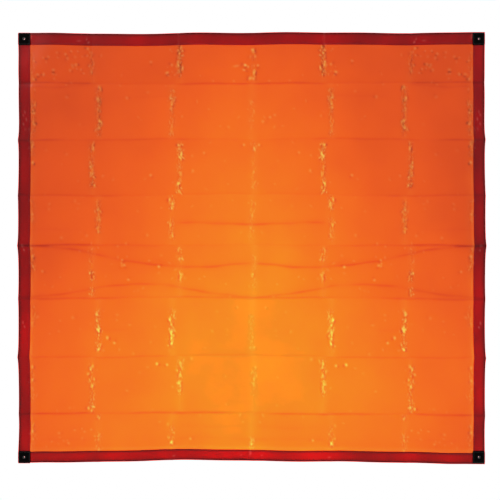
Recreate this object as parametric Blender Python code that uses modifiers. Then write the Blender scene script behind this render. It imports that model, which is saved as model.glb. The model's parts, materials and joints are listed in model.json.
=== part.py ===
# Welding curtain: a translucent vinyl sheet with a folded hem band on all four sides, a webbing patch on each
# face of every corner, and a turned eyelet with its washer through each corner.
# The sheet hangs from its two top eyelets. Its packing creases run from side to side, and it folds up along
# them, so the sheet and its side hems are made in rows, one between each two creases.
# Frame: origin midway between the two top eyelets, +X to the right, +Y to the back, +Z up.

import math

import bmesh
import bpy
from mathutils import Vector

# Driving dimensions, in metres
CURTAIN_WIDTH = 1.800
CURTAIN_HEIGHT = 1.660
EYELET_INSET = 0.024          # eyelet centre to both nearest edges
CREASE_DROPS = (0.194, 0.412, 0.627, 0.821, 1.026, 1.252, 1.474)  # from the top edge down
FILM = 0.0004                 # thickness of the vinyl, in the sheet and in the hem band
GAP = 0.0003                  # room between two pieces that touch
HEM_WIDTH = 0.044
SHEET_CREASE_ROOM = 0.0015    # where a row of sheet stops short of its crease
HEM_CREASE_ROOM = 0.0060      # where a row of hem stops short of its crease
PATCH_SIDE = 0.048
PATCH_CORNER_RADIUS = 0.003
PATCH_THICKNESS = 0.0020
EYELET_BORE_RADIUS = 0.0029
EYELET_WALL = 0.0006
EYELET_FLANGE_RADIUS = 0.0058
WASHER_RADIUS = 0.0063
WASHER_THICKNESS = 0.0006
TURN_STEPS = 24               # facets round an eyelet

# Worked out from them
HALF_WIDTH = CURTAIN_WIDTH / 2
TOP_Z = EYELET_INSET
BOTTOM_Z = TOP_Z - CURTAIN_HEIGHT
EYELET_X = HALF_WIDTH - EYELET_INSET
CREASE_Z = [TOP_Z - drop for drop in CREASE_DROPS]
ROW_COUNT = len(CREASE_Z) + 1
SLOT_HALF = FILM / 2 + GAP                    # half the room that the hem leaves for the sheet
HEM_HALF = SLOT_HALF + FILM                   # half the hem's thickness
SHEET_EDGE_ROOM = HEM_HALF + GAP              # from the hem's outer edge in to the sheet's edge
PATCH_INNER_Y = HEM_HALF + GAP
PATCH_OUTER_Y = PATCH_INNER_Y + PATCH_THICKNESS
BARREL_RADIUS = EYELET_BORE_RADIUS + EYELET_WALL
HOLE_RADIUS = BARREL_RADIUS + GAP

CORNERS = {
    "top_left": (-EYELET_X, 0.0),
    "top_right": (EYELET_X, 0.0),
    "bottom_left": (-EYELET_X, BOTTOM_Z + EYELET_INSET),
    "bottom_right": (EYELET_X, BOTTOM_Z + EYELET_INSET),
}

# Turns of an object about Y that point its own X axis out of each side of the curtain
SIDE_TURNS = {"right": 0.0, "left": math.pi, "top": -math.pi / 2, "bottom": math.pi / 2}
FACE_FRONT = (math.pi / 2, 0.0, 0.0)          # own X stays X, own Y becomes Z, own Z points to the front


def clear_scene():
    for obj in list(bpy.data.objects):
        bpy.data.objects.remove(obj, do_unlink=True)


def make_collection(name):
    collection = bpy.data.collections.new(name)
    bpy.context.scene.collection.children.link(collection)
    return collection


def make_material(name, colour, roughness, metallic, alpha=1.0):
    material = bpy.data.materials.new(name)
    material.use_nodes = True
    shader = material.node_tree.nodes["Principled BSDF"]
    shader.inputs["Base Color"].default_value = (*colour, 1.0)
    shader.inputs["Roughness"].default_value = roughness
    shader.inputs["Metallic"].default_value = metallic
    shader.inputs["Alpha"].default_value = alpha
    material.diffuse_color = (*colour, alpha)
    return material


def arc(centre, radius, start, end, steps):
    """Points on a round stretch, from the start angle to the end angle in degrees."""
    angles = [math.radians(start + (end - start) * i / steps) for i in range(steps + 1)]
    return [(centre[0] + radius * math.cos(a), centre[1] + radius * math.sin(a)) for a in angles]


def rectangle(half_width, low, high):
    return [(-half_width, low), (half_width, low), (half_width, high), (-half_width, high)]


def rounded_square(side, radius):
    reach = side / 2 - radius
    points = []
    for quarter, (sx, sy) in enumerate(((1, 1), (-1, 1), (-1, -1), (1, -1))):
        points += arc((sx * reach, sy * reach), radius, 90 * quarter, 90 * quarter + 90, 4)
    return points


def circle(centre, radius):
    return arc(centre, radius, 0, 360, TURN_STEPS)[:-1]


def flat_outline(name, outlines, thickness):
    """A mesh of a flat outline, with its holes, given its thickness about its own XY plane."""
    curve = bpy.data.curves.new(name + "_outline", "CURVE")
    curve.dimensions = "2D"
    curve.fill_mode = "BOTH"
    curve.extrude = thickness / 2
    for outline in outlines:
        spline = curve.splines.new("POLY")
        spline.points.add(len(outline) - 1)
        for point, (x, y) in zip(spline.points, outline):
            point.co = (x, y, 0.0, 1.0)
        spline.use_cyclic_u = True
    guide = bpy.data.objects.new(name + "_outline", curve)
    bpy.context.scene.collection.objects.link(guide)
    bpy.context.view_layer.update()
    mesh = bpy.data.meshes.new_from_object(guide.evaluated_get(bpy.context.evaluated_depsgraph_get()))
    bpy.data.objects.remove(guide, do_unlink=True)
    shell = bmesh.new()
    shell.from_mesh(mesh)
    bmesh.ops.remove_doubles(shell, verts=shell.verts, dist=0.00001)
    bmesh.ops.recalc_face_normals(shell, faces=shell.faces)
    shell.to_mesh(mesh)
    shell.free()
    mesh.name = name
    return mesh


def add_piece(name, mesh, row, location, rotation, material):
    """Puts a mesh in the scene as one piece that hangs in a row of the curtain."""
    piece = bpy.data.objects.new(name, mesh)
    pieces.objects.link(piece)
    piece.parent = row_pivots[row]
    piece.location = Vector(location) - row_places[row]
    piece.rotation_euler = rotation
    mesh.materials.append(material)
    return piece


def row_span(row, room):
    """The top and bottom of a row, with room left at each of its creases."""
    high = CREASE_Z[row - 1] - room if row > 0 else TOP_Z
    low = CREASE_Z[row] + room if row < ROW_COUNT - 1 else BOTTOM_Z
    return high, low


def make_row_pivots():
    """One empty on each row's upper crease, each hung from the row above. The first is at the origin."""
    places = [Vector((0.0, 0.0, 0.0))] + [Vector((0.0, 0.0, z)) for z in CREASE_Z]
    pivots = []
    for row, place in enumerate(places):
        pivot = bpy.data.objects.new(f"row_{row + 1}_pivot", None)
        pieces.objects.link(pivot)
        if row > 0:
            pivot.parent = pivots[row - 1]
            pivot.location = place - places[row - 1]
        pivots.append(pivot)
    return places, pivots


def make_sheet_rows():
    """The film between each two creases. The first and last rows are holed at their corners for the eyelets."""
    half_width = HALF_WIDTH - SHEET_EDGE_ROOM
    for row in range(ROW_COUNT):
        high, low = row_span(row, SHEET_CREASE_ROOM)
        if row == 0:
            high -= SHEET_EDGE_ROOM
        if row == ROW_COUNT - 1:
            low += SHEET_EDGE_ROOM
        middle = (high + low) / 2
        outlines = [rectangle(half_width, low - middle, high - middle)]
        for x, z in CORNERS.values():
            if low < z < high:
                outlines.append(circle((x, z - middle), HOLE_RADIUS))
        name = f"sheet_row_{row + 1}"
        mesh = flat_outline(name, outlines, FILM)
        add_piece(name, mesh, row, (0.0, 0.0, middle), FACE_FRONT, film_orange)


def hem_section():
    """The band's cross-section: two legs and the fold. Its own X points out of the curtain, 0 is the edge."""
    bend = (-HEM_HALF, 0.0)
    outside = arc(bend, HEM_HALF, 90, -90, 8)
    inside = arc(bend, SLOT_HALF, -90, 90, 6)
    front_leg = [(-HEM_WIDTH, -HEM_HALF), (-HEM_WIDTH, -SLOT_HALF)]
    back_leg = [(-HEM_WIDTH, SLOT_HALF), (-HEM_WIDTH, HEM_HALF)]
    return outside + front_leg + inside + back_leg


def make_side_hems():
    """The bands down both sides, a row at a time. They begin and end where the corner patches do."""
    for side, sign in (("left", -1), ("right", 1)):
        for row in range(ROW_COUNT):
            high, low = row_span(row, HEM_CREASE_ROOM)
            if row == 0:
                high -= PATCH_SIDE + GAP
            if row == ROW_COUNT - 1:
                low += PATCH_SIDE + GAP
            name = f"{side}_hem_row_{row + 1}"
            mesh = flat_outline(name, [hem_section()], high - low)
            place = (sign * HALF_WIDTH, 0.0, (high + low) / 2)
            add_piece(name, mesh, row, place, (0.0, SIDE_TURNS[side], 0.0), film_red)


def make_hole_cutter(name, x, z):
    bpy.ops.mesh.primitive_cylinder_add(vertices=TURN_STEPS, radius=HOLE_RADIUS, depth=0.02,
                                        location=(x, 0.0, z), rotation=FACE_FRONT)
    cutter = bpy.context.object
    cutter.name = name
    cutter.hide_render = True
    cutter.display_type = "WIRE"
    for collection in list(cutter.users_collection):
        collection.objects.unlink(cutter)
    cutters.objects.link(cutter)
    return cutter


def make_end_hems():
    """The bands along the top and the bottom, which run the whole width and are holed for the eyelets."""
    for side, row, edge in (("top", 0, TOP_Z), ("bottom", ROW_COUNT - 1, BOTTOM_Z)):
        name = f"{side}_hem"
        mesh = flat_outline(name, [hem_section()], CURTAIN_WIDTH)
        hem = add_piece(name, mesh, row, (0.0, 0.0, edge), (0.0, SIDE_TURNS[side], 0.0), film_red)
        for corner, (x, z) in CORNERS.items():
            if corner.startswith(side):
                hole = hem.modifiers.new(f"{corner}_hole", "BOOLEAN")
                hole.operation = "DIFFERENCE"
                hole.object = make_hole_cutter(f"{corner}_hole_cutter", x, z)


def corner_row(corner):
    return 0 if corner.startswith("top") else ROW_COUNT - 1


def make_patches():
    """Two rounded squares of webbing on each corner, one on each face, with a hole for the eyelet."""
    outlines = [rounded_square(PATCH_SIDE, PATCH_CORNER_RADIUS), circle((0.0, 0.0), HOLE_RADIUS)]
    depth = (PATCH_INNER_Y + PATCH_OUTER_Y) / 2
    for corner, (x, z) in CORNERS.items():
        for face, sign in (("front", -1), ("back", 1)):
            name = f"patch_{corner}_{face}"
            mesh = flat_outline(name, outlines, PATCH_THICKNESS)
            add_piece(name, mesh, corner_row(corner), (x, sign * depth, z), FACE_FRONT, webbing_black)


def turned_ring(name, profile):
    """A mesh of a closed profile of (radius, height) points, which a Screw modifier turns about its own Z."""
    mesh = bpy.data.meshes.new(name)
    count = len(profile)
    edges = [(i, (i + 1) % count) for i in range(count)]
    mesh.from_pydata([(radius, 0.0, height) for radius, height in profile], edges, [])
    return mesh


def turn(piece):
    screw = piece.modifiers.new("turn", "SCREW")
    screw.steps = TURN_STEPS
    screw.render_steps = TURN_STEPS
    screw.use_merge_vertices = True
    screw.merge_threshold = 0.00001
    screw.use_smooth_shade = True


def eyelet_profile():
    """Down the outside and up the bore: domed flange, barrel, and the lip that is rolled over the washer."""
    under_flange = PATCH_OUTER_Y + GAP
    dome_height = 0.0012
    dome_middle = (EYELET_BORE_RADIUS + EYELET_FLANGE_RADIUS) / 2
    dome_reach = (EYELET_FLANGE_RADIUS - EYELET_BORE_RADIUS) / 2
    dome = [(dome_middle - dome_reach * math.cos(a), under_flange + dome_height * math.sin(a))
            for a in (math.radians(30 * i) for i in range(1, 7))]
    lip_top = -(PATCH_OUTER_Y + GAP + WASHER_THICKNESS + GAP)
    lip_reach = 0.0011
    lip_middle = EYELET_BORE_RADIUS + lip_reach
    lip = [(lip_middle + lip_reach * math.cos(a), lip_top - 0.0008 * math.sin(a))
           for a in (math.radians(36 * i) for i in range(0, 5))]
    barrel = [(BARREL_RADIUS, under_flange), (BARREL_RADIUS, lip_top)]
    bore = [(EYELET_BORE_RADIUS, lip_top), (EYELET_BORE_RADIUS, under_flange)]
    return dome + barrel + lip + bore


def washer_profile():
    top = -(PATCH_OUTER_Y + GAP)
    bottom = top - WASHER_THICKNESS
    chamfer = 0.0002
    return [(HOLE_RADIUS, top), (WASHER_RADIUS - chamfer, top), (WASHER_RADIUS, top - chamfer),
            (WASHER_RADIUS, bottom + chamfer), (WASHER_RADIUS - chamfer, bottom), (HOLE_RADIUS, bottom)]


def make_eyelets():
    for corner, (x, z) in CORNERS.items():
        for kind, profile in (("eyelet", eyelet_profile()), ("washer", washer_profile())):
            name = f"{kind}_{corner}"
            mesh = turned_ring(name, profile)
            turn(add_piece(name, mesh, corner_row(corner), (x, 0.0, z), FACE_FRONT, eyelet_metal))


clear_scene()
pieces = make_collection("welding_curtain")
cutters = make_collection("cutters")
film_orange = make_material("film_orange", (0.85, 0.13, 0.015), 0.22, 0.0, 0.75)
film_red = make_material("film_red", (0.30, 0.012, 0.012), 0.28, 0.0, 0.95)
webbing_black = make_material("webbing_black", (0.010, 0.010, 0.011), 0.85, 0.0)
eyelet_metal = make_material("eyelet_metal", (0.045, 0.042, 0.040), 0.35, 1.0)
row_places, row_pivots = make_row_pivots()
make_sheet_rows()
make_side_hems()
make_end_hems()
make_patches()
make_eyelets()
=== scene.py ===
import json
import math

import bpy
import numpy as np
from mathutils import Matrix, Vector


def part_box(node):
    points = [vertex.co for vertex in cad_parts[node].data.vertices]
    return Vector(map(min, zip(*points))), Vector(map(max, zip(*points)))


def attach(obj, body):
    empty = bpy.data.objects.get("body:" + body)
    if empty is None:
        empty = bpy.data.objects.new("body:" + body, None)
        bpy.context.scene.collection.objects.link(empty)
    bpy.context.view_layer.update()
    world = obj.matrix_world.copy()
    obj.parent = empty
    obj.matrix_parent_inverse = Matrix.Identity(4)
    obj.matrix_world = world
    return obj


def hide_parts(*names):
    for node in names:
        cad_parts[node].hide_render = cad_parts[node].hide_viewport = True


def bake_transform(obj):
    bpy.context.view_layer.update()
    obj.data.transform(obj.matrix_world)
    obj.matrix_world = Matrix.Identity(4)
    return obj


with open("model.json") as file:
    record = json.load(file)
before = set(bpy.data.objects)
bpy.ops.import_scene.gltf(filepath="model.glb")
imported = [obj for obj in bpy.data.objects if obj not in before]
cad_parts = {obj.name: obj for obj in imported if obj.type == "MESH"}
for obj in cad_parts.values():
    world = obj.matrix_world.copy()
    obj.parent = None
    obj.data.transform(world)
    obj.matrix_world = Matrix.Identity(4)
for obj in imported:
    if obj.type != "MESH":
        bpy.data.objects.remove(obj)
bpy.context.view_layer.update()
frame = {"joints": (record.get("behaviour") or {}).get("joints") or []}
print("frame loaded")

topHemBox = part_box("top_hem")
halfWidth = topHemBox[1].x
topZ = topHemBox[1].z
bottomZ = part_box("bottom_hem")[0].z
curtainHeight = topZ - bottomZ
hemWidth = topHemBox[1].z - topHemBox[0].z
hemHalf = topHemBox[1].y
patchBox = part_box("patch_top_left_front")
patchHalf = (patchBox[1].x - patchBox[0].x) / 2
creaseDrops = np.array([topZ - joint["pos_m"][2] for joint in frame["joints"]])
rowEdges = np.concatenate([[0.0], creaseDrops, [curtainHeight]])
rowMiddles = (rowEdges[:-1] + rowEdges[1:]) / 2
corners = {}
for cornerName in ("top_left", "top_right", "bottom_left", "bottom_right"):
    cornerLow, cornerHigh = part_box("eyelet_" + cornerName)
    corners[cornerName] = ((cornerLow.x + cornerHigh.x) / 2, (cornerLow.z + cornerHigh.z) / 2)


def makeCamera():
    # square on to the front face, its centre a little left of and below the curtain's centre
    settings = {"lens": 40.0, "distance": 2.1435, "left": 0.0058, "below": 0.0077}
    data = bpy.data.cameras.new("camera")
    data.lens = settings["lens"]
    data.sensor_width = 36.0
    camera = bpy.data.objects.new("camera", data)
    bpy.context.scene.collection.objects.link(camera)
    middleZ = (topZ + bottomZ) / 2
    camera.location = (-settings["left"], -settings["distance"], middleZ - settings["below"])
    camera.rotation_euler = (math.pi / 2, 0.0, 0.0)
    bpy.context.scene.camera = camera


makeCamera()

# lengths in metres; across is measured from the middle, the same on both halves
filmShape = {
    "thickness": 0.0004,
    "waveDepth": 0.0042,
    "creaseDepth": 0.0030,
    "foldDepth": 0.0014,
    "crumpleDepth": 0.0011,
    "cellAcross": 0.0042,
    "cellFold": 0.0022,
    "cellDown": 0.0036,
    "bottomRise": 0.0130,
    "topSag": 0.0050,
    "sideTuck": 0.0034,
}

# upright packing folds: how far from the middle, and how far each steps in and out from row to row
uprightFolds = {
    "outer": {"across": 0.6030, "step": 0.0130, "mirrored": True},
    "inner": {"across": 0.2920, "step": -0.0150, "mirrored": True},
    "middle": {"across": 0.0050, "step": 0.0040, "mirrored": False},
    "edge": {"across": 0.8450, "step": 0.0010, "mirrored": True},
}

# where the crumples gather on each fold: row, from, to (shares of the row's height), strength
crumpleRuns = {
    "outer": [(0, 0.42, 0.80, 0.40), (1, 0.05, 0.12, 0.75), (1, 0.10, 0.93, 0.55), (1, 0.66, 0.84, 0.95),
              (2, 0.05, 0.58, 0.55), (2, 0.58, 0.86, 0.95), (3, 0.10, 0.75, 0.55), (3, 0.20, 0.34, 0.70),
              (4, 0.05, 0.40, 0.25), (4, 0.48, 0.68, 0.95), (4, 0.80, 0.96, 0.60), (5, 0.20, 0.90, 0.50),
              (5, 0.44, 0.62, 0.90), (5, 0.76, 0.90, 0.85), (6, 0.14, 0.96, 0.55), (6, 0.78, 0.96, 0.80),
              (7, 0.02, 0.10, 0.70), (7, 0.40, 0.80, 0.40)],
    "inner": [(0, 0.24, 0.86, 0.75), (0, 0.30, 0.66, 0.55), (1, 0.10, 0.80, 0.50), (1, 0.24, 0.40, 0.70),
              (1, 0.85, 0.94, 0.65), (2, 0.06, 0.98, 0.55), (2, 0.08, 0.36, 0.85), (2, 0.80, 0.96, 0.90),
              (3, 0.02, 0.30, 0.80), (3, 0.46, 0.90, 0.55), (4, 0.06, 0.30, 0.65), (4, 0.50, 0.70, 0.40),
              (5, 0.20, 0.86, 0.55), (5, 0.48, 0.74, 0.60), (6, 0.06, 0.70, 0.55), (7, 0.30, 0.70, 0.50)],
    "middle": [(0, 0.30, 0.55, 0.30), (0, 0.62, 0.92, 0.30), (1, 0.30, 0.80, 0.20), (2, 0.05, 0.20, 0.50),
               (2, 0.30, 0.90, 0.20), (3, 0.10, 0.90, 0.25), (4, 0.20, 0.80, 0.25), (5, 0.30, 0.90, 0.20),
               (6, 0.20, 0.70, 0.30), (7, 0.50, 0.90, 0.40)],
    "edge": [(0, 0.40, 0.90, 0.20), (1, 0.30, 0.95, 0.40), (2, 0.02, 0.30, 0.35), (3, 0.10, 0.60, 0.18),
             (4, 0.05, 0.50, 0.32), (5, 0.10, 0.50, 0.20), (6, 0.20, 0.80, 0.20), (7, 0.20, 0.90, 0.24)],
}

# single dents away from the folds: across, drop, strength
looseDents = [
    (0.717, 0.082, 0.6), (0.709, 0.098, 0.4), (0.763, 0.144, 0.6), (0.782, 0.094, 0.4), (0.632, 0.059, 0.7),
    (0.388, 0.109, 0.5), (0.326, 0.152, 0.9), (0.025, 0.125, 0.6), (0.008, 0.175, 0.5), (0.840, 0.310, 0.8),
    (0.840, 0.353, 0.8), (0.844, 0.432, 0.6), (0.846, 0.500, 1.0), (0.481, 0.248, 0.5), (0.713, 0.248, 0.3),
    (0.183, 0.465, 0.4), (0.029, 0.434, 0.6), (0.388, 0.550, 0.7), (0.226, 0.534, 0.4), (0.809, 0.921, 0.5),
    (0.357, 0.905, 0.8), (0.500, 0.901, 0.4), (0.554, 1.179, 0.8), (0.527, 1.199, 0.7), (0.365, 1.284, 1.0),
    (0.326, 1.288, 0.7), (0.475, 0.955, 0.5), (0.630, 1.319, 0.6), (0.236, 1.577, 0.5), (0.846, 0.863, 0.7),
    (0.846, 0.700, 0.6), (0.846, 1.290, 0.6), (0.846, 1.340, 0.5), (0.846, 1.540, 0.6), (0.840, 0.180, 0.5),
]

# stretches of film with many faint dents: across from and to, drop from and to, how many, strength
dentFields = [(0.600, 0.840, 0.060, 0.165, 24, 0.50), (0.270, 0.330, 0.060, 0.170, 12, 0.45),
              (0.560, 0.800, 1.530, 1.600, 16, 0.30), (0.480, 0.560, 0.860, 0.900, 5, 0.50)]

# broad crumples where the middle fold was pinched, each a dent with a painted highlight and painted shade on its flank:
# across, drop, half width, half length, strength
pinchCrumples = [
    (0.005, 0.070, 0.0055, 0.0100, 0.45), (0.014, 0.090, 0.0050, 0.0070, 0.40), (-0.059, 0.127, 0.0120, 0.0045, 0.35),
    (-0.024, 0.123, 0.0060, 0.0040, 0.60), (-0.013, 0.130, 0.0045, 0.0045, 0.50), (-0.029, 0.142, 0.0060, 0.0040, 0.55),
    (0.009, 0.154, 0.0040, 0.0085, 0.60), (-0.002, 0.173, 0.0060, 0.0060, 0.42), (0.044, 0.343, 0.0060, 0.0060, 0.30),
    (0.072, 0.327, 0.0050, 0.0050, 0.40), (0.090, 0.319, 0.0055, 0.0055, 0.25),
]

# long shallow wrinkles that leave the creases: strength, then places along the line (across, drop)
wrinkles = [
    (0.62, [(0.89, 0.819), (0.70, 0.832), (0.585, 0.862), (0.50, 0.877), (0.334, 0.905), (0.20, 0.909),
            (0.045, 0.896), (0.0, 0.893)]),
    (0.50, [(0.89, 1.020), (0.66, 1.004), (0.585, 0.980), (0.47, 0.970), (0.315, 0.977), (0.20, 1.002), (0.0, 1.031)]),
    (0.55, [(0.29, 0.736), (0.20, 0.734), (0.09, 0.739), (0.0, 0.744)]),
    (0.35, [(0.86, 0.205), (0.77, 0.214), (0.70, 0.207), (0.62, 0.196)]),
    (0.22, [(0.80, 1.573), (0.70, 1.570), (0.60, 1.574)]),
    (0.22, [(0.30, 1.576), (0.15, 1.571), (0.0, 1.575)]),
    (0.18, [(0.26, 1.526), (0.12, 1.529), (0.02, 1.526)]),
    (0.20, [(0.60, 1.147), (0.54, 1.150), (0.48, 1.147)]),
    (0.25, [(0.38, 0.872), (0.34, 0.890), (0.27, 0.902)]),
    (0.20, [(0.86, 0.762), (0.75, 0.757), (0.66, 0.760)]),
    (0.18, [(0.52, 0.243), (0.42, 0.246), (0.30, 0.243)]),
]

# how plainly each crease shows, from the top: all along, then stretches of it (across from, to, strength)
creaseShow = [
    (0.16, [(0.00, 0.26, 0.50), (0.60, 0.90, 0.42)]),
    (0.14, [(0.24, 0.63, 0.30), (0.74, 0.90, 0.45)]),
    (0.12, [(0.52, 0.90, 0.30)]),
    (0.14, [(0.36, 0.60, 0.20), (0.60, 0.92, 0.75)]),
    (0.16, [(0.00, 0.30, 0.30), (0.52, 0.88, 0.42)]),
    (0.14, [(0.00, 0.20, 0.18), (0.34, 0.84, 0.20)]),
    (0.20, [(0.08, 0.46, 0.45), (0.62, 0.90, 0.55)]),
]


def smoothStep(low, high, value):
    # 0 below low, 1 above high, 3t^2 - 2t^3 between
    share = np.clip((value - low) / (high - low), 0.0, 1.0)
    return share * share * (3.0 - 2.0 * share)


def between(low, high, soft, value):
    # 1 from low to high, fading to 0 over a soft width at both ends
    return smoothStep(low - soft, low + soft, value) * smoothStep(-high - soft, -high + soft, -value)


def rowOf(drop):
    # the number of creases above each point
    return np.searchsorted(creaseDrops, drop)


def foldAcross(fold, drop):
    # the fold's distance from the middle: it steps in and out by row, and wanders a little
    turn = np.where(rowOf(drop) % 2 == 0, 1.0, -1.0)
    wander = 0.0016 * np.sin(31 * drop + 9 * fold["across"]) + 0.0010 * np.sin(83 * drop + 2.0)
    return fold["across"] + fold["step"] * turn + wander


def fromFold(fold, across, drop):
    # how far each point is from a fold; two of the folds are there on both halves
    return (np.abs(across) if fold["mirrored"] else across) - foldAcross(fold, drop)


def makeCrumples():
    # one entry for each crumple mark: across, drop, half width, half length, tilt, strength, on both halves
    source = np.random.default_rng(41)
    marks = []
    for foldName, runs in crumpleRuns.items():
        fold = uprightFolds[foldName]
        for row, start, end, strength in runs:
            low = rowEdges[row] + start * (rowEdges[row + 1] - rowEdges[row])
            high = rowEdges[row] + end * (rowEdges[row + 1] - rowEdges[row])
            for _ in range(max(2, round((high - low) / 0.0056))):
                drop = source.uniform(low, high)
                across = foldAcross(fold, drop) + source.normal(0.0, 0.0060)
                marks.append((across, drop, source.uniform(0.0020, 0.0042), source.uniform(0.0028, 0.0078),
                              source.normal(0.0, 0.40), strength * source.uniform(0.12, 1.0) ** 1.5,
                              fold["mirrored"]))
    for across, drop, strength in looseDents:
        marks.append((across, drop, 0.0046, source.uniform(0.0046, 0.0068), source.normal(0.0, 0.7),
                      0.8 * strength, True))
    for near, far, top, bottom, count, strength in dentFields:
        for _ in range(count):
            marks.append((source.uniform(near, far), source.uniform(top, bottom), source.uniform(0.0028, 0.0056),
                          source.uniform(0.0028, 0.0060), source.normal(0.0, 0.9),
                          strength * source.uniform(0.25, 1.0), True))
    for across, drop, wide, tall, strength in pinchCrumples:
        marks.append((across, drop, wide, tall, source.normal(0.0, 0.4), strength, False))
    for _ in range(150):
        marks.append((source.uniform(0.03, 0.85), source.uniform(0.06, 1.60) ** 0.9, source.uniform(0.0030, 0.0060),
                      source.uniform(0.0030, 0.0070), source.normal(0.0, 0.9), source.uniform(0.04, 0.22), True))
    return np.array(marks)


crumples = makeCrumples()


def crumpleField(across, drop):
    # two sums of stretched bells, one of each for every mark: its light core, a painted highlight that is partly
    # stress-whitening, and its dark flank, painted shade
    light = np.zeros_like(across)
    flank = np.zeros_like(across)
    near = crumples[(crumples[:, 1] > drop.min() - 0.03) & (crumples[:, 1] < drop.max() + 0.03)]
    for markAcross, markDrop, wide, tall, tilt, strength, mirrored in near:
        aside = (np.abs(across) if mirrored else across) - markAcross
        close = (np.abs(aside) < 0.022) & (np.abs(drop - markDrop) < 0.022)
        if not close.any():
            continue
        aside, below = aside[close], drop[close] - markDrop
        right = aside * math.cos(tilt) + below * math.sin(tilt)
        down = below * math.cos(tilt) - aside * math.sin(tilt)
        light[close] += strength * np.exp(-(right / wide) ** 2 - (down / tall) ** 2)
        beside = (right - math.copysign(1.9 * wide, math.sin(900 * markDrop))) / (1.1 * wide)
        flank[close] += strength * np.exp(-beside ** 2 - ((down - 0.5 * tall) / tall) ** 2)
    return light, flank


def foldBands(across, drop):
    # how strongly each point belongs to a creased stretch of an upright fold; the material lays painted highlight and
    # shade specks along these stretches
    band = np.zeros_like(across)
    for foldName, runs in crumpleRuns.items():
        distance = fromFold(uprightFolds[foldName], across, drop)
        for row, start, end, strength in runs:
            low = rowEdges[row] + start * (rowEdges[row + 1] - rowEdges[row])
            high = rowEdges[row] + end * (rowEdges[row + 1] - rowEdges[row])
            along = smoothStep(low - 0.010, low + 0.006, drop) * smoothStep(-high - 0.010, -high + 0.006, -drop)
            band = np.maximum(band, strength * along * np.exp(-(distance / 0.0115) ** 2))
    return band


def foldGlow(across, drop):
    # a soft painted glow, a lighter bell about every upright fold where the film is stretched thin
    glow = np.zeros_like(across)
    for fold in uprightFolds.values():
        glow = glow + np.exp(-(fromFold(fold, across, drop) / 0.0150) ** 2) * smoothStep(0.04, 0.16, drop)
    return glow


def wrinkleLine(places, side):
    # the wrinkle's drop at each distance from the middle, and a weight that fades out past its two ends
    across, level = np.array(places)[::-1].T
    smooth = np.linspace(across[0], across[-1], 60)
    drops = np.convolve(np.pad(np.interp(smooth, across, level), 4, "edge"), np.full(9, 1 / 9), "valid")
    along = smoothStep(across[0] - 0.03, across[0] + 0.04, side + 0.08 * (across[0] < 0.01))
    line = np.interp(side, smooth, drops) + 0.0016 * np.sin(21 * side + 40 * level[0]) + 0.0009 * np.sin(53 * side)
    along = along * (0.68 + 0.32 * np.sin(17 * side + 90 * level[0]) * np.sin(41 * side + 30 * level[0]))
    return line, along * smoothStep(-across[-1] - 0.03, -across[-1] + 0.04, -side)


def creaseLines(side, drop):
    # the shade in each crossways crease and wrinkle, a narrow bell about its line
    shade = np.zeros_like(side)
    for number, crease in enumerate(creaseDrops):
        show, stretches = creaseShow[number]
        for low, high, strength in stretches:
            show = show + strength * between(low, high, 0.035, side)
        show = show * (0.80 + 0.20 * np.sin(23 * side + 5 * number) * np.sin(61 * side + number))
        line = crease + 0.0022 * np.sin(7 * side + 2.1 * number) + 0.0010 * np.sin(29 * side + number)
        shade += show * np.exp(-((drop - line) / 0.0042) ** 2)
    for strength, places in wrinkles:
        line, along = wrinkleLine(places, side)
        shade += strength * along * np.exp(-((drop - line) / 0.0040) ** 2)
        shade += 0.22 * strength * along * np.exp(-((drop - line + 0.004) / 0.0130) ** 2)
    return shade


def filmDepth(across, drop):
    # depth = slow waves + ridges along the creases and wrinkles + small ridges on the upright folds
    # + crumples, all let down to nothing at the four stiff corners
    side = np.abs(across)
    waves = np.sin(2 * np.pi * (across / 0.66 + 0.32 * drop + 0.10)) * (0.35 + 0.65 * drop / curtainHeight)
    waves = waves + 0.55 * np.sin(2 * np.pi * (across / 0.31 - 0.75 * drop + 0.40))
    waves = waves + 0.45 * np.sin(2 * np.pi * (0.9 * drop / 0.52 + 0.5 * across))
    depth = filmShape["waveDepth"] * waves
    for number, crease in enumerate(creaseDrops):
        turn = 1.0 if number % 2 == 0 else -1.0
        line = crease + 0.0022 * np.sin(7 * side + 2.1 * number) + 0.0010 * np.sin(29 * side + number)
        away = np.sqrt((drop - line) ** 2 + 0.0018 ** 2)
        depth = depth + turn * filmShape["creaseDepth"] * np.exp(-away / 0.022)
    for strength, places in wrinkles:
        line, along = wrinkleLine(places, side)
        away = np.sqrt((drop - line) ** 2 + 0.0016 ** 2)
        depth = depth - 0.7 * strength * filmShape["creaseDepth"] * along * np.exp(-away / 0.012)
    fromCrease = np.min(np.abs(drop[..., None] - creaseDrops), axis=-1)
    for fold in uprightFolds.values():
        turn = np.where(rowOf(drop) % 2 == 0, 1.0, -1.0)
        away = np.sqrt(fromFold(fold, across, drop) ** 2 + 0.0015 ** 2)
        depth = depth + turn * filmShape["foldDepth"] * np.exp(-away / 0.011) * smoothStep(0, 0.02, fromCrease)
    light, flank = crumpleField(across, drop)
    depth = depth + filmShape["crumpleDepth"] * (0.6 * np.clip(flank, 0, 1.4) - np.clip(light, 0, 1.4))
    fromCorner = np.hypot(halfWidth - side, np.minimum(drop, curtainHeight - drop))
    stiff = smoothStep(2.2 * patchHalf, 7.0 * patchHalf, fromCorner)
    return np.clip(depth * stiff, -0.0105, 0.0105)


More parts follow.
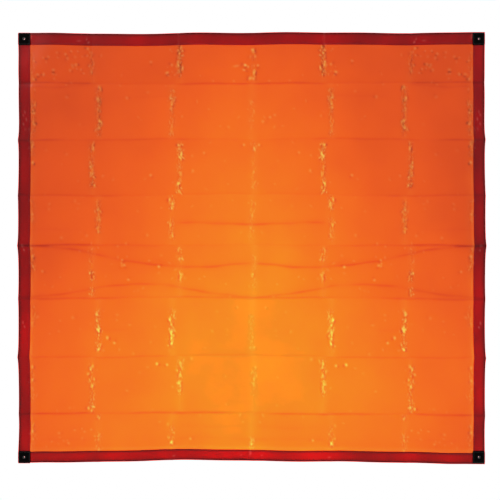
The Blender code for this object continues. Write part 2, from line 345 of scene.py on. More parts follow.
def filmPoint(across, drop):
    # a point of the film's middle surface: across and drop on the flat film become x, depth and height;
    # height = -drop + a low bell at the bottom + sags along the top, x is drawn in or out beside the creases
    bell = np.exp(-((across + 0.17) / 0.56) ** 2) - 0.10
    rise = filmShape["bottomRise"] * bell * (drop / curtainHeight) ** 1.5
    sag = -filmShape["topSag"] * np.exp(-((across + 0.47) / 0.17) ** 2)
    sag = sag + 0.0035 * np.exp(-((across - 0.19) / 0.17) ** 2) + 0.0030 * smoothStep(0.55, 0.90, across)
    lift = rise + sag * (1 - drop / curtainHeight) ** 2 - 0.0030 * smoothStep(0.60, 0.90, across) * drop / curtainHeight
    fromCrease = np.min(np.abs(drop[..., None] - creaseDrops[1:]), axis=-1)
    pull = np.exp(-fromCrease / 0.030) - 0.38 + 0.25 * (across > 0) - 0.35 * np.exp(-((drop - 0.36) / 0.07) ** 2)
    nearSide = smoothStep(halfWidth - patchHalf * 5, halfWidth, np.abs(across))
    nearSide = nearSide * smoothStep(0.03, 0.09, np.minimum(drop, curtainHeight - drop))
    outward = across * (1 + filmShape["sideTuck"] * pull * nearSide / halfWidth)
    return np.stack([outward, filmDepth(across, drop), topZ - drop + lift], axis=-1)


curtainPieces = bpy.data.collections.new("curtainPieces")    # what the two lamps behind the curtain light up


def linkMesh(name, points, quads, material):
    # one smooth mesh object from points and quads, its points already in place
    mesh = bpy.data.meshes.new(name)
    mesh.from_pydata(points.reshape(-1, 3), [], quads.reshape(-1, 4))
    mesh.polygons.foreach_set("use_smooth", np.ones(len(mesh.polygons), bool))
    mesh.set_sharp_from_angle(angle=math.radians(50))
    mesh.materials.append(material)
    piece = bpy.data.objects.new(name, mesh)
    bpy.context.scene.collection.objects.link(piece)
    curtainPieces.objects.link(piece)
    return piece


def gridNormals(grid):
    # the unit cross product of the grid's two directions
    normal = np.cross(np.gradient(grid, axis=0), np.gradient(grid, axis=1))
    return normal / np.linalg.norm(normal, axis=-1, keepdims=True)


def shellQuads(kept):
    # the quads of a closed shell: an outer and an inner grid, with a rim wherever the kept cells end
    rows, columns = kept.shape
    outer = np.arange((rows + 1) * (columns + 1)).reshape(rows + 1, columns + 1)
    inner = outer + outer.size
    corner = np.stack([outer[:-1, :-1], outer[1:, :-1], outer[1:, 1:], outer[:-1, 1:]], -1)
    faces = [corner[kept], corner[kept][:, ::-1] + outer.size]
    padded = np.pad(kept, 1)
    for rowShift, columnShift, start, end in ((-1, 0, 0, 3), (1, 0, 2, 1), (0, -1, 1, 0), (0, 1, 3, 2)):
        beside = padded[1 + rowShift:rows + 1 + rowShift, 1 + columnShift:columns + 1 + columnShift]
        edge = corner[kept & ~beside]
        faces.append(np.stack([edge[:, start], edge[:, end], edge[:, end] + outer.size, edge[:, start] + outer.size], -1))
    return np.concatenate(faces)


def shellFromGrid(name, grid, thickness, material, fields, kept=None):
    # half the thickness to each side of the grid, with point fields for the material
    offset = gridNormals(grid) * thickness / 2
    points = np.concatenate([(grid + offset).reshape(-1, 3), (grid - offset).reshape(-1, 3)])
    quads = shellQuads(np.ones((grid.shape[0] - 1, grid.shape[1] - 1), bool) if kept is None else kept)
    used, quads = np.unique(quads, return_inverse=True)
    piece = linkMesh(name, points[used], quads.reshape(-1, 4), material)
    for fieldName, values in fields.items():
        attribute = piece.data.attributes.new(fieldName, "FLOAT", "POINT")
        attribute.data.foreach_set("value", np.tile(values.ravel(), 2)[used].astype(np.float32))
    return piece


def awayFromEyelets(across, drop):
    # which cells of a grid keep clear of the eyelets' barrels, so that the holes stay open
    middleAcross = (across[:-1, :-1] + across[1:, 1:]) / 2
    middleDrop = (drop[:-1, :-1] + drop[1:, 1:]) / 2
    kept = np.ones(middleAcross.shape, bool)
    for centreX, centreZ in corners.values():
        kept &= np.hypot(middleAcross - centreX, topZ - middleDrop - centreZ) > 0.0075
    return kept


def spread(start, end, cell):
    # evenly spaced places from start to end, about one cell apart
    return np.linspace(start, end, max(2, round(abs(end - start) / cell) + 1))


# the mark colour is painted highlight on crumples, folds and hem glints, partly stress-whitening; the crease colour is
# painted shade in creases, wrinkles and the hems' dark lines; the flank colour is painted shade on the crumples' flanks
filmLook = {
    "colour": (0.94, 0.123, 0.003),
    "through": (0.93, 0.390, 0.026),
    "highlightAndStressColour": (1.0, 0.475, 0.150),
    "creaseShadeColour": (0.52, 0.045, 0.002),
    "flankShadeColour": (0.52, 0.078, 0.002),
    "clear": 0.42,
    "milky": 0.62,
    "roughness": 0.24,
    "gloss": 0.80,
    "mottle": 0.10,
}
hemLook = {
    "colour": (0.73, 0.0055, 0.0075),
    "through": (0.96, 0.036, 0.048),
    "highlightAndStressColour": (1.00, 0.330, 0.260),
    "creaseShadeColour": (0.28, 0.001, 0.001),
    "flankShadeColour": (0.36, 0.001, 0.001),
    "clear": 0.35,
    "milky": 0.65,
    "roughness": 0.28,
    "gloss": 0.50,
    "mottle": 0.20,
}


def newMaterial(name):
    # an empty node material
    material = bpy.data.materials.new(name)
    material.use_nodes = True
    material.node_tree.nodes.clear()
    return material, material.node_tree.nodes, material.node_tree.links


def mathNode(nodes, links, operation, first, second):
    # a sum, a product or a test of two numbers or sockets
    node = nodes.new("ShaderNodeMath")
    node.operation = operation
    for socket, value in zip(node.inputs, (first, second)):
        if isinstance(value, (int, float)):
            socket.default_value = value
        else:
            links.new(value, socket)
    return node.outputs[0]


def mixColour(nodes, links, kind, share, first, second):
    # second laid over first by a share, each a plain value or a socket
    node = nodes.new("ShaderNodeMix")
    node.data_type = "RGBA"
    node.blend_type = kind
    for socket, value in ((node.inputs[0], share), (node.inputs[6], first), (node.inputs[7], second)):
        if isinstance(value, (int, float)):
            socket.default_value = value
        elif isinstance(value, tuple):
            socket.default_value = (*value, 1.0)
        else:
            links.new(value, socket)
    return node.outputs[2]


def pointField(nodes, name):
    # a value stored at each point of the mesh
    node = nodes.new("ShaderNodeAttribute")
    node.attribute_name = name
    return node.outputs["Fac"]


def noiseField(nodes, links, scale, detail, stretch=(1.0, 1.0, 1.0)):
    # soft noise with this many bumps to the metre, stretched along an axis where its number is below 1
    coords = nodes.new("ShaderNodeTexCoord")
    mapping = nodes.new("ShaderNodeMapping")
    mapping.inputs["Scale"].default_value = stretch
    noise = nodes.new("ShaderNodeTexNoise")
    noise.inputs["Scale"].default_value = scale
    noise.inputs["Detail"].default_value = detail
    links.new(coords.outputs["Object"], mapping.inputs[0])
    links.new(mapping.outputs[0], noise.inputs["Vector"])
    return noise.outputs["Fac"]


def remap(nodes, links, value, low, high, bottom, top):
    # low to high becomes bottom to top, held there beyond both ends
    node = nodes.new("ShaderNodeMapRange")
    node.inputs[1].default_value = low
    node.inputs[2].default_value = high
    node.inputs[3].default_value = bottom
    node.inputs[4].default_value = top
    links.new(value, node.inputs[0])
    return node.outputs[0]


def vinylMaterial(name, look):
    # coloured vinyl: part of the light goes straight through, part is scattered on, part comes back
    material, nodes, links = newMaterial(name)
    band = pointField(nodes, "band")
    # along the creased fold bands, noise lays painted highlight specks into the light marks and painted shade specks
    # into the flanks
    bright = remap(nodes, links, noiseField(nodes, links, 190, 2, (1, 1, 0.6)), 0.50, 0.76, 0.0, 0.80)
    dull = remap(nodes, links, noiseField(nodes, links, 150, 2, (1, 1, 0.5)), 0.36, 0.62, 0.0, 1.0)
    light = mathNode(nodes, links, "ADD", pointField(nodes, "light"), mathNode(nodes, links, "MULTIPLY", band, bright))
    light = remap(nodes, links, light, 0.0, 1.0, 0.0, 1.0)
    flank = mathNode(nodes, links, "ADD", pointField(nodes, "flank"), mathNode(nodes, links, "MULTIPLY", band, dull))
    flank = remap(nodes, links, flank, 0.0, 1.0, 0.0, 1.0)
    dark = pointField(nodes, "dark")
    mottle = remap(nodes, links, noiseField(nodes, links, 5.5, 4), 0.30, 0.70, 1.0 - look["mottle"], 1.0)

    def stained(colour):
        # the plain colour with painted shade in its creases, painted shade on its crumple flanks and its light marks,
        # painted highlights that are partly stress-whitening, laid over it in turn
        colour = mixColour(nodes, links, "MIX", dark, colour, look["creaseShadeColour"])
        colour = mixColour(nodes, links, "MIX", flank, colour, look["flankShadeColour"])
        colour = mixColour(nodes, links, "MIX", light, colour, look["highlightAndStressColour"])
        return mixColour(nodes, links, "MULTIPLY", 1.0, colour, mottle)

    bumpSource = noiseField(nodes, links, 130, 3)
    bump = nodes.new("ShaderNodeBump")
    bump.inputs["Strength"].default_value = 0.10
    bump.inputs["Distance"].default_value = 0.0006
    links.new(bumpSource, bump.inputs["Height"])
    skin = nodes.new("ShaderNodeBsdfPrincipled")
    skin.inputs["Roughness"].default_value = look["roughness"]
    skin.inputs["IOR"].default_value = 1.53
    skin.inputs["Specular IOR Level"].default_value = look["gloss"]
    surfaceColour = stained(look["colour"])
    links.new(surfaceColour, skin.inputs["Base Color"])
    links.new(bump.outputs[0], skin.inputs["Normal"])
    milk = nodes.new("ShaderNodeBsdfTranslucent")
    links.new(surfaceColour, milk.inputs["Color"])
    clear = nodes.new("ShaderNodeBsdfTransparent")
    links.new(stained(look["through"]), clear.inputs["Color"])
    body = nodes.new("ShaderNodeMixShader")
    body.inputs[0].default_value = look["milky"]
    links.new(skin.outputs[0], body.inputs[1])
    links.new(milk.outputs[0], body.inputs[2])
    whole = nodes.new("ShaderNodeMixShader")
    whole.inputs[0].default_value = look["clear"]
    links.new(body.outputs[0], whole.inputs[1])
    links.new(clear.outputs[0], whole.inputs[2])
    output = nodes.new("ShaderNodeOutputMaterial")
    links.new(whole.outputs[0], output.inputs[0])
    return material


def webbingMaterial():
    # black plain-woven webbing: ribs across and down, worked out of two wave patterns
    look = {"colour": (0.0010, 0.0008, 0.0008), "light": (0.0036, 0.0030, 0.0030), "roughness": 0.85, "ribs": 420.0,
            "sheen": 0.02}
    material, nodes, links = newMaterial("webbing")
    coords = nodes.new("ShaderNodeTexCoord")
    waves = []
    for direction in ("X", "Z"):
        wave = nodes.new("ShaderNodeTexWave")
        wave.bands_direction = direction
        wave.inputs["Scale"].default_value = look["ribs"] / 6.2832
        wave.inputs["Distortion"].default_value = 0.4
        links.new(coords.outputs["Object"], wave.inputs["Vector"])
        waves.append(wave.outputs["Fac"])
    weave = mathNode(nodes, links, "MULTIPLY", waves[0], waves[1])
    fuzz = noiseField(nodes, links, 900, 3)
    height = mathNode(nodes, links, "ADD", weave, mathNode(nodes, links, "MULTIPLY", fuzz, 0.35))
    # the colour follows the weave's height, lighter on the raised threads and darker in the hollows: painted shade in
    # the weave, with random fuzz
    colour = mixColour(nodes, links, "MIX", height, look["colour"], look["light"])
    bump = nodes.new("ShaderNodeBump")
    bump.inputs["Strength"].default_value = 0.7
    bump.inputs["Distance"].default_value = 0.0004
    links.new(height, bump.inputs["Height"])
    shader = nodes.new("ShaderNodeBsdfPrincipled")
    shader.inputs["Roughness"].default_value = look["roughness"]
    shader.inputs["Specular IOR Level"].default_value = look["sheen"]
    links.new(colour, shader.inputs["Base Color"])
    links.new(bump.outputs[0], shader.inputs["Normal"])
    output = nodes.new("ShaderNodeOutputMaterial")
    links.new(shader.outputs[0], output.inputs[0])
    return material


def threadMaterial(name, colour):
    # twisted thread: fine slanting lines along the stitch
    material, nodes, links = newMaterial(name)
    coords = nodes.new("ShaderNodeTexCoord")
    wave = nodes.new("ShaderNodeTexWave")
    wave.bands_direction = "DIAGONAL"
    wave.inputs["Scale"].default_value = 420.0
    links.new(coords.outputs["Object"], wave.inputs["Vector"])
    paler = tuple(min(1.0, 2.2 * part + 0.01) for part in colour)
    # paler on the ridges of the twist and darker in its grooves: painted shade along the twist
    tint = mixColour(nodes, links, "MIX", wave.outputs["Fac"], colour, paler)
    bump = nodes.new("ShaderNodeBump")
    bump.inputs["Strength"].default_value = 0.6
    bump.inputs["Distance"].default_value = 0.0002
    links.new(wave.outputs["Fac"], bump.inputs["Height"])
    shader = nodes.new("ShaderNodeBsdfPrincipled")
    shader.inputs["Roughness"].default_value = 0.62
    links.new(tint, shader.inputs["Base Color"])
    links.new(bump.outputs[0], shader.inputs["Normal"])
    output = nodes.new("ShaderNodeOutputMaterial")
    links.new(shader.outputs[0], output.inputs[0])
    return material


def eyeletMaterial():
    # gunmetal finish with faint rub marks
    look = {"colour": (0.022, 0.020, 0.020), "rubbed": (0.085, 0.070, 0.066)}
    material, nodes, links = newMaterial("gunmetal")
    wear = remap(nodes, links, noiseField(nodes, links, 700, 4), 0.45, 0.72, 0.0, 1.0)
    colour = mixColour(nodes, links, "MIX", wear, look["colour"], look["rubbed"])
    rough = remap(nodes, links, noiseField(nodes, links, 450, 3), 0.3, 0.7, 0.26, 0.48)
    shader = nodes.new("ShaderNodeBsdfPrincipled")
    shader.inputs["Metallic"].default_value = 1.0
    links.new(colour, shader.inputs["Base Color"])
    links.new(rough, shader.inputs["Roughness"])
    output = nodes.new("ShaderNodeOutputMaterial")
    links.new(shader.outputs[0], output.inputs[0])
    return material


orangeVinyl = vinylMaterial("orangeVinyl", filmLook)
redVinyl = vinylMaterial("redVinyl", hemLook)
webbing = webbingMaterial()
redThread = threadMaterial("redThread", (0.040, 0.003, 0.003))
blackThread = threadMaterial("blackThread", (0.030, 0.028, 0.030))
gunmetal = eyeletMaterial()
print("materials made")


hemShape = {
    "widths": {"top": 0.0470, "bottom": 0.0430, "left": 0.0462, "right": 0.0446},
    "thickness": 0.0005,
    "cellAlong": 0.0040,
    "legColumns": 9,
    "foldColumns": 8,
    "pucker": 0.00022,
    "puckerPitch": 0.013,
    "stitchInset": 0.0045,
}


def filmColumns(reach):
    # closer columns where an upright fold can run
    inner = []
    edges = [0.0]
    for fold in sorted(uprightFolds.values(), key=lambda item: item["across"]):
        room = abs(fold["step"]) + 0.017
        low, high = max(0.0, fold["across"] - room), fold["across"] + room
        if low > edges[-1]:
            inner.append(spread(edges[-1], low, filmShape["cellAcross"])[:-1])
        inner.append(spread(low, high, filmShape["cellFold"])[:-1])
        edges.append(high)
    inner.append(spread(edges[-1], reach, filmShape["cellAcross"]))
    half = np.unique(np.round(np.concatenate(inner), 6))
    return np.concatenate([-half[:0:-1], half])


def pieceSpan(number):
    # piece number k runs from the middle of row k to the middle of row k + 1, the end ones to the edge
    low = 0.0 if number == 0 else rowMiddles[number]
    high = curtainHeight if number == len(creaseDrops) - 1 else rowMiddles[number + 1]
    return low, high


def bendAtCrease(piece):
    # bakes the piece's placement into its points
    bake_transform(piece)


def makeFilm():
    # seven pieces, each a shell about a grid of film points; the film's edge stops just inside the hem's fold
    inset = 0.0012
    columns = filmColumns(halfWidth - inset)
    for number in range(len(creaseDrops)):
        low, high = pieceSpan(number)
        low = inset if number == 0 else low
        high = curtainHeight - inset if number == len(creaseDrops) - 1 else high
        across, drop = np.meshgrid(columns, spread(low, high, filmShape["cellDown"]))
        side = np.abs(across)
        light, flank = crumpleField(across, drop)
        # painted glow about the upright folds, a painted light line along the film beside the side hems and another
        # just above the bottom hem
        light = light + 0.055 * foldGlow(across, drop)
        besideHem = halfWidth - side - hemShape["widths"]["left"] - 0.003
        light = light + (0.10 + 0.05 * np.sin(47 * drop)) * np.exp(-(besideHem / 0.0045) ** 2)
        light = light + 0.07 * np.exp(-((curtainHeight - drop - hemShape["widths"]["bottom"] - 0.008) / 0.007) ** 2)
        fields = {"light": np.clip(light, 0, 1), "flank": np.clip(1.25 * flank, 0, 1), "band": foldBands(across, drop),
                  "dark": np.clip(0.62 * creaseLines(side, drop), 0, 1)}
        grid = filmPoint(across, drop)
        piece = shellFromGrid(f"film_{number + 1}", grid, filmShape["thickness"], orangeVinyl, fields,
                              awayFromEyelets(across, drop))
        bendAtCrease(piece)
        stands = [f"sheet_row_{number + 2}"] if number else ["sheet_row_1", "sheet_row_2"]
        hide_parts(*stands)


makeFilm()
print("film made")


# small painted highlights on the hems where the fold or the stitching catches the light: across, drop, half width,
# half length, strength
hemGlints = [
    (0.851, 0.016, 0.0030, 0.0110, 1.00), (0.666, 0.028, 0.0080, 0.0024, 0.50), (0.629, 0.034, 0.0034, 0.0034, 0.90),
    (0.636, 0.022, 0.0026, 0.0040, 0.60), (0.876, 0.306, 0.0020, 0.0060, 0.45), (0.884, 0.318, 0.0022, 0.0050, 0.60),
    (0.872, 0.334, 0.0022, 0.0060, 0.55), (0.882, 0.352, 0.0022, 0.0050, 0.50), (0.874, 0.372, 0.0024, 0.0060, 0.45),
    (0.880, 0.822, 0.0024, 0.0060, 0.95), (0.876, 0.838, 0.0022, 0.0040, 0.60), (0.884, 1.118, 0.0024, 0.0060, 0.60),
    (0.878, 1.134, 0.0022, 0.0040, 0.55), (0.300, 1.644, 0.0050, 0.0022, 0.40), (0.040, 1.640, 0.0040, 0.0022, 0.35),
]


def hemProfile(side):
    # the band from the front leg's inner edge, round the fold, to the back leg's: inset from the edge, and
    # depth from the film's middle, minus to the front
    middle = (filmShape["thickness"] / 2 + hemHalf) / 2 + 0.00015
    leg = np.linspace(hemShape["widths"][side], middle, hemShape["legColumns"])
    turn = np.linspace(-np.pi / 2, np.pi / 2, hemShape["foldColumns"] + 1)[1:-1]
    inset = np.concatenate([leg, middle - middle * np.cos(turn), leg[::-1]])
    depth = np.concatenate([np.full(leg.shape, -middle), middle * np.sin(turn), np.full(leg.shape, middle)])
    return inset, depth


def hemFields(across, drop, inset, width):
    # painted highlights and dark lines on a hem: painted shade along the fold at its edge and a dark line just inside
    # its inner edge
    side = np.abs(across)
    light, flank = crumpleField(across, drop)
    for markAcross, markDrop, wide, tall, strength in hemGlints:
        light = light + strength * np.exp(-((side - markAcross) / wide) ** 2 - ((drop - markDrop) / tall) ** 2)
    atBottom = smoothStep(curtainHeight - hemWidth - 0.002, curtainHeight - hemWidth, drop)
    # a dark line just inside the inner edge, strong on the bottom hem and faint on the others
    innerLine = np.exp(-((inset - width + 0.0015) / 0.0034) ** 2) * (0.10 + 0.85 * atBottom)
    # painted shade along the fold at the hem's outer edge
    edge = np.exp(-(inset / 0.0065) ** 2)
    # a painted light line on the top hem where the inner upright fold crosses it
    atTop = smoothStep(hemShape["widths"]["top"] + 0.002, hemShape["widths"]["top"], drop)
    light = light + 0.13 * atTop * np.exp(-((side - 0.281) / 0.0040) ** 2)
    dark = 0.45 * creaseLines(side, drop) + innerLine + 0.95 * edge
    return {"light": np.clip(light, 0, 1), "dark": np.clip(dark, 0, 1), "flank": np.clip(0.5 * flank, 0, 1),
            "band": np.zeros_like(side)}


def hemGrid(side, along):
    # every profile point set against the film at each step along the edge, pulled in a little at each stitch
    inset, depth = hemProfile(side)
    width = hemShape["widths"][side]
    along, inset = np.meshgrid(along, inset, indexing="ij")
    depth = np.broadcast_to(depth, inset.shape)
    if side in ("left", "right"):
        sign = -1.0 if side == "left" else 1.0
        across, drop = sign * (halfWidth - inset), along
    else:
        across, drop = along, inset if side == "top" else curtainHeight - inset
    onFilm = filmPoint(across, drop)
    pull = np.exp(-((inset - width + hemShape["stitchInset"]) / 0.008) ** 2)
    ripple = hemShape["pucker"] * pull * np.sin(2 * np.pi * along / hemShape["puckerPitch"])
    onFilm[..., 1] += depth + np.sign(depth) * np.maximum(ripple, 0)
    return onFilm, hemFields(across, drop, inset, width), awayFromEyelets(across, drop)


def stitchLine(points, heading, lift):
    # one thread stitch at each point: a bead with six sides and five rings, long along its heading
    ring = np.linspace(0, 2 * np.pi, 7)[:-1]
    along = np.array([-1.0, -0.72, 0.0, 0.72, 1.0])
    fat = np.array([0.25, 0.80, 1.0, 0.80, 0.25])
    length, radius = 0.0018, 0.00036
    normal = np.array([0.0, lift, 0.0])
    cross = np.cross(heading, normal)
    shape = (along[:, None, None] * length * heading
             + fat[:, None, None] * radius * (np.cos(ring)[:, None] * cross + 0.8 * np.sin(ring)[:, None] * normal))
    beads = points[:, None, None, :] + shape[None]
    count = len(points)
    index = np.arange(count * 30).reshape(count, 5, 6)
    following = np.roll(index, -1, axis=2)
    walls = np.stack([index[:, :-1], following[:, :-1], following[:, 1:], index[:, 1:]], -1).reshape(-1, 4)
    ends = [loop[:, order] for loop in (index[:, 0], index[:, 4, ::-1]) for order in ([0, 5, 4, 3], [0, 3, 2, 1])]
    return beads.reshape(-1, 3), np.concatenate([walls] + ends)[:, ::-1]


def hemStitches(name, side, low, high):
    # lock stitches down the inner edge of the hem, on the front and the back
    pitch = 0.0052
    along = np.arange(low + pitch / 2, high, pitch)
    inset = np.full(along.shape, hemShape["widths"][side] - hemShape["stitchInset"])
    if side in ("left", "right"):
        sign = -1.0 if side == "left" else 1.0
        across, drop, heading = sign * (halfWidth - inset), along, np.array([0.0, 0.0, 1.0])
    else:
        across, drop, heading = along, inset if side == "top" else curtainHeight - inset, np.array([1.0, 0.0, 0.0])
    onFilm = filmPoint(across, drop)
    allPoints, allQuads, count = [], [], 0
    for lift in (-1.0, 1.0):
        seat = onFilm.copy()
        seat[:, 1] += lift * (hemHalf + 0.00022)
        points, quads = stitchLine(seat, heading, lift)
        allPoints.append(points)
        allQuads.append(quads + count)
        count += len(points)
    return linkMesh(name, np.concatenate(allPoints), np.concatenate(allQuads), redThread)


def makeHems():
    # seven bands down each side, bent with the film, and one band along the top and the bottom
    for side in ("left", "right"):
        for number in range(len(creaseDrops)):
            low, high = pieceSpan(number)
            low = hemShape["widths"]["top"] + 0.0008 if number == 0 else low
            high = curtainHeight - hemShape["widths"]["bottom"] - 0.0008 if number == len(creaseDrops) - 1 else high
            grid, fields, kept = hemGrid(side, spread(low, high, hemShape["cellAlong"]))
            band = shellFromGrid(f"{side}_hem_{number + 1}", grid, hemShape["thickness"], redVinyl, fields, kept)
            bendAtCrease(band)
            stands = [f"{side}_hem_row_{number + 2}"] if number else [f"{side}_hem_row_1", f"{side}_hem_row_2"]
            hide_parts(*stands)
            thread = hemStitches(f"{side}_stitches_{number + 1}", side, low, high)
            bendAtCrease(thread)
    for side, body in (("top", "row_1"), ("bottom", f"row_{len(rowMiddles)}")):
        grid, fields, kept = hemGrid(side, spread(-halfWidth, halfWidth, hemShape["cellAlong"]))
        band = shellFromGrid(f"{side}_hem_band", grid, hemShape["thickness"], redVinyl, fields, kept)
        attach(band, body)
        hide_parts(f"{side}_hem")
        thread = hemStitches(f"{side}_stitches", side, -halfWidth + 2 * patchHalf, halfWidth - 2 * patchHalf)
        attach(thread, body)


makeHems()
print("hems and stitching made")

patchShape = {"squareness": 14.0, "roundEdge": 0.0004, "around": 176, "stitchInset": 0.0040, "stitchPitch": 0.0046}
eyeletShape = {"around": 72, "bore": 0.0029, "wall": 0.0006, "lip": 0.0022, "room": 0.0003}


def ringPiece(name, centre, radii, depths, material):
    # a closed ring: at each angle (rows) the profile's radius (columns), at the profile's depth
    turns, steps = radii.shape
    angle = np.linspace(0, 2 * np.pi, turns + 1)[:-1, None]
    points = np.stack([centre[0] + radii * np.cos(angle), np.broadcast_to(depths, radii.shape),
                       centre[1] + radii * np.sin(angle)], -1)
    index = np.arange(turns * steps).reshape(turns, steps)
    over, across = np.roll(index, -1, axis=0), np.roll(index, -1, axis=1)
    corner = np.roll(over, -1, axis=1)
    quads = np.stack([index, across, corner, over], -1).reshape(-1, 4)
    return linkMesh(name, points, quads, material)


def squareReach(turns, half, squareness):
    # distance from the middle to the edge of a square with slightly rounded corners, at each angle
    angle = np.linspace(0, 2 * np.pi, turns + 1)[:-1]
    return half / (np.abs(np.cos(angle)) ** squareness + np.abs(np.sin(angle)) ** squareness) ** (1 / squareness)


def rowBody(corner):
    # the first row carries the top corners and the last row the bottom ones
    return "row_1" if corner.startswith("top") else f"row_{len(rowMiddles)}"


def makePatch(corner, face):
    # a square ring of webbing: its profile runs from the eyelet's hole over the face, round the edge and back
    centre = corners[corner]
    low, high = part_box(f"patch_{corner}_{face}")
    sign = -1.0 if face == "front" else 1.0
    inner, outer = (abs(high.y), abs(low.y)) if sign < 0 else (low.y, high.y)
    hole = eyeletShape["bore"] + eyeletShape["wall"] + eyeletShape["room"]
    edge = patchShape["roundEdge"]
    shares = np.array([0.0, 0.0, 0.25, 0.5, 0.75, 0.93, 1.0, 1.0, 1.0, 0.93, 0.5])
    pull = np.array([0, 0, 0, 0, 0, 0, -edge, 0, 0, -edge * 0.5, 0])
    levels = np.array([inner, outer, outer, outer, outer, outer, outer, outer - edge, inner + edge, inner, inner])
    reach = squareReach(patchShape["around"], patchHalf - 0.0002, patchShape["squareness"])[:, None]
    radii = hole + shares * (reach - hole) + pull
    order = slice(None) if sign < 0 else slice(None, None, -1)
    piece = ringPiece(f"patch_{corner}_{face}_webbing", centre, radii[:, order], (sign * levels)[order], webbing)
    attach(piece, rowBody(corner))
    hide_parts(f"patch_{corner}_{face}")
    return sign * (outer + 0.00015)


def makePatchStitches(corner, face, depth):
    # a square of stitches just inside the patch's edge
    centre = corners[corner]
    half = patchHalf - patchShape["stitchInset"]
    pitch = patchShape["stitchPitch"]
    run = np.arange(-half + pitch / 2, half, pitch)
    allPoints, allQuads, count = [], [], 0
    for level, upright in ((-half, False), (half, False), (-half, True), (half, True)):
        first, second = (np.full(run.shape, level), run) if upright else (run, np.full(run.shape, level))
        seat = np.stack([centre[0] + first, np.full(run.shape, depth), centre[1] + second], -1)
        heading = np.array([0.0, 0.0, 1.0]) if upright else np.array([1.0, 0.0, 0.0])
        points, quads = stitchLine(seat, heading, math.copysign(1.0, depth))
        allPoints.append(points)
        allQuads.append(quads + count)
        count += len(points)
    thread = linkMesh(f"patch_{corner}_{face}_thread", np.concatenate(allPoints), np.concatenate(allQuads), blackThread)
    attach(thread, rowBody(corner))


def dome(start, end, base, height, steps):
    # half an oval from one radius to another, standing height off its base
    angle = np.linspace(np.pi, 0, steps)
    return (start + end) / 2 + (end - start) / 2 * np.cos(angle), base + height * np.sin(angle)


def makeEyelet(corner):
    # a turned eyelet, domed in front and rolled over its washer at the back, and the washer
    centre = corners[corner]
    low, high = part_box(f"eyelet_{corner}")
    washerLow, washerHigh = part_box(f"washer_{corner}")
    flange, washer = high.x - centre[0], washerHigh.x - centre[0]
    front, back = low.y, high.y
    bore, wall, room = eyeletShape["bore"], eyeletShape["wall"], eyeletShape["room"]
    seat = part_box(f"patch_{corner}_front")[0].y - room
    domeRadius, domeDepth = dome(bore, flange, seat, front - seat, 12)
    lipTop = washerHigh.y + room
    lipRadius, lipDepth = dome(bore, bore + eyeletShape["lip"], lipTop, back - lipTop, 8)
    radius = np.concatenate([domeRadius, [bore + wall, bore + wall], lipRadius[::-1], [bore]])
    depth = np.concatenate([domeDepth, [seat + 0.0001, lipTop], lipDepth[::-1], [0.0]])
    turns = eyeletShape["around"]
    eyelet = ringPiece(f"eyelet_{corner}_turned", centre, np.tile(radius, (turns, 1)), depth, gunmetal)
    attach(eyelet, rowBody(corner))
    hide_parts(f"eyelet_{corner}")
    nearY, farY = washerLow.y, washerHigh.y
    hole = bore + wall + room
    radius = np.array([hole, washer - 0.0010, washer - 0.0003, washer, washer, washer - 0.0003, hole + 0.0003, hole])
    depth = np.array([nearY, nearY, nearY + 0.00004, nearY + 0.0002, farY - 0.0003, farY - 0.00005, farY, farY - 0.0001])
    ring = ringPiece(f"washer_{corner}_turned", centre, np.tile(radius, (turns, 1)), depth, gunmetal)
    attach(ring, rowBody(corner))
    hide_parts(f"washer_{corner}")


for cornerName in corners:
    for faceName in ("front", "back"):
        makePatchStitches(cornerName, faceName, makePatch(cornerName, faceName))
    makeEyelet(cornerName)
print("patches and eyelets made")


def makeFloor():
    # a plain pale floor well below the hanging curtain
    settings = {"level": bottomZ - 0.80, "front": -8.0, "back": 1.2, "half": 8.0, "shade": (0.72, 0.76)}
    mesh = bpy.data.meshes.new("floor")
    across, along, level = settings["half"], (settings["front"], settings["back"]), settings["level"]
    mesh.from_pydata([(-across, along[0], level), (across, along[0], level), (across, along[1], level),
                      (-across, along[1], level)], [], [(0, 1, 2, 3)])
    floor = bpy.data.objects.new("floor", mesh)
    bpy.context.scene.collection.objects.link(floor)
    floor.visible_glossy = False
    material, nodes, links = newMaterial("paleFloor")
    shade = remap(nodes, links, noiseField(nodes, links, 1.5, 3), 0.3, 0.7, *settings["shade"])
    shader = nodes.new("ShaderNodeBsdfPrincipled")
    shader.inputs["Roughness"].default_value = 0.7
    links.new(shade, shader.inputs["Base Color"])
    output = nodes.new("ShaderNodeOutputMaterial")
    links.new(shader.outputs[0], output.inputs[0])
    mesh.materials.append(material)


def makeLight(name, place, target, size, power, tint=(1.0, 1.0, 1.0), curtainOnly=False):
    # one soft oval lamp, turned to its target
    data = bpy.data.lights.new(name, "AREA")
    data.shape = "ELLIPSE"
    data.size, data.size_y = size
    data.energy = power
    lamp = bpy.data.objects.new(name, data)
    bpy.context.scene.collection.objects.link(lamp)
    lamp.location = place
    lamp.rotation_euler = (Vector(target) - Vector(place)).to_track_quat("-Z", "Y").to_euler()
    lamp.visible_camera = False
    data.color = tint
    if curtainOnly:
        lamp.visible_glossy = False
        lamp.light_linking.receiver_collection = curtainPieces


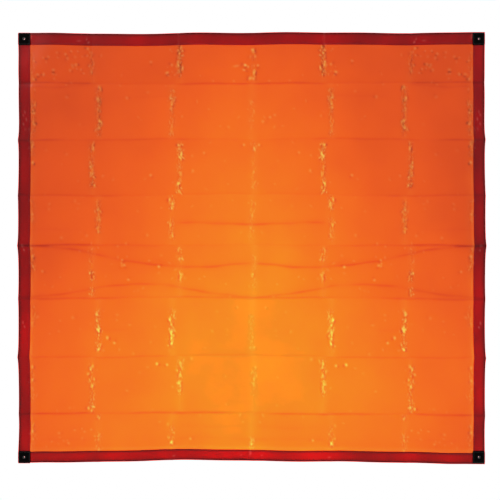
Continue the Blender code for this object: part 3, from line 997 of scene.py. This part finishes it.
def makeStudio():
    # a white room, a tall strip and a wide low light behind the curtain, and two soft ones in front
    settings = {"room": 0.70, "gloss": 1.3, "redWhite": 2.95, "lampTint": (0.46, 1.0, 1.0), "strip": 36.0, "spill": 48.0, "key": 30.0, "fill": 12.0}
    middle = (topZ + bottomZ) / 2
    world = bpy.data.worlds.new("room")
    world.use_nodes = True
    nodes, links = world.node_tree.nodes, world.node_tree.links
    nodes.clear()
    path = nodes.new("ShaderNodeLightPath")
    direct = mathNode(nodes, links, "LESS_THAN", path.outputs["Transparent Depth"], 0.5)
    seen = mathNode(nodes, links, "MULTIPLY", path.outputs["Is Camera Ray"], direct)
    mirrored = mathNode(nodes, links, "MULTIPLY", path.outputs["Is Glossy Ray"], settings["gloss"] - settings["room"])
    level = mathNode(nodes, links, "ADD", mirrored, settings["room"])
    grey = mixColour(nodes, links, "MULTIPLY", 1.0, (1.0, 1.0, 1.0), level)
    background = nodes.new("ShaderNodeBackground")
    links.new(mixColour(nodes, links, "MIX", seen, grey, (settings["redWhite"], 1.02, 1.02)), background.inputs["Color"])
    output = nodes.new("ShaderNodeOutputWorld")
    links.new(background.outputs[0], output.inputs[0])
    bpy.context.scene.world = world
    stripZ, spillZ = topZ - 0.92, bottomZ + 0.24
    makeLight("strip", (0.0, 0.50, stripZ), (0.0, 0.0, stripZ), (0.20, 1.50), settings["strip"],
              settings["lampTint"], True)
    makeLight("spill", (0.0, 0.45, spillZ), (0.0, 0.0, spillZ), (1.70, 0.80), settings["spill"],
              settings["lampTint"], True)
    makeLight("key", (-3.0, -2.4, middle + 2.6), (0, 0, middle), (1.4, 1.4), settings["key"])
    makeLight("fill", (3.6, -2.4, middle + 0.4), (0, 0, middle), (1.4, 1.4), settings["fill"])


def setFilmCurve():
    # a soft shoulder for red only, as slide film has it, so that the bright glow keeps its colour
    view = bpy.context.scene.view_settings
    view.view_transform = "Standard"
    view.look = "None"
    view.use_curve_mapping = True
    mapping = view.curve_mapping
    mapping.clip_max_x = 5.0
    mapping.clip_max_y = 1.0
    straight = [(0.0, 0.0), (1.0, 1.0), (5.0, 1.0)]
    shoulder = [(0.0, 0.0), (0.65, 0.65), (0.842, 0.75), (1.13, 0.845), (1.53, 0.895), (2.20, 0.916), (2.76, 0.924),
                (2.86, 1.0), (5.0, 1.0)]
    for channel, places in ((0, shoulder), (1, straight), (2, straight), (3, [(0.0, 0.0), (5.0, 5.0)])):
        curve = mapping.curves[channel]
        while len(curve.points) < len(places):
            curve.points.new(0.5, 0.5)
        for point, (x, y) in zip(curve.points, places):
            point.location = (x, y)
            point.handle_type = "VECTOR"
    mapping.update()


makeFloor()
makeStudio()
setFilmCurve()
print("studio set")
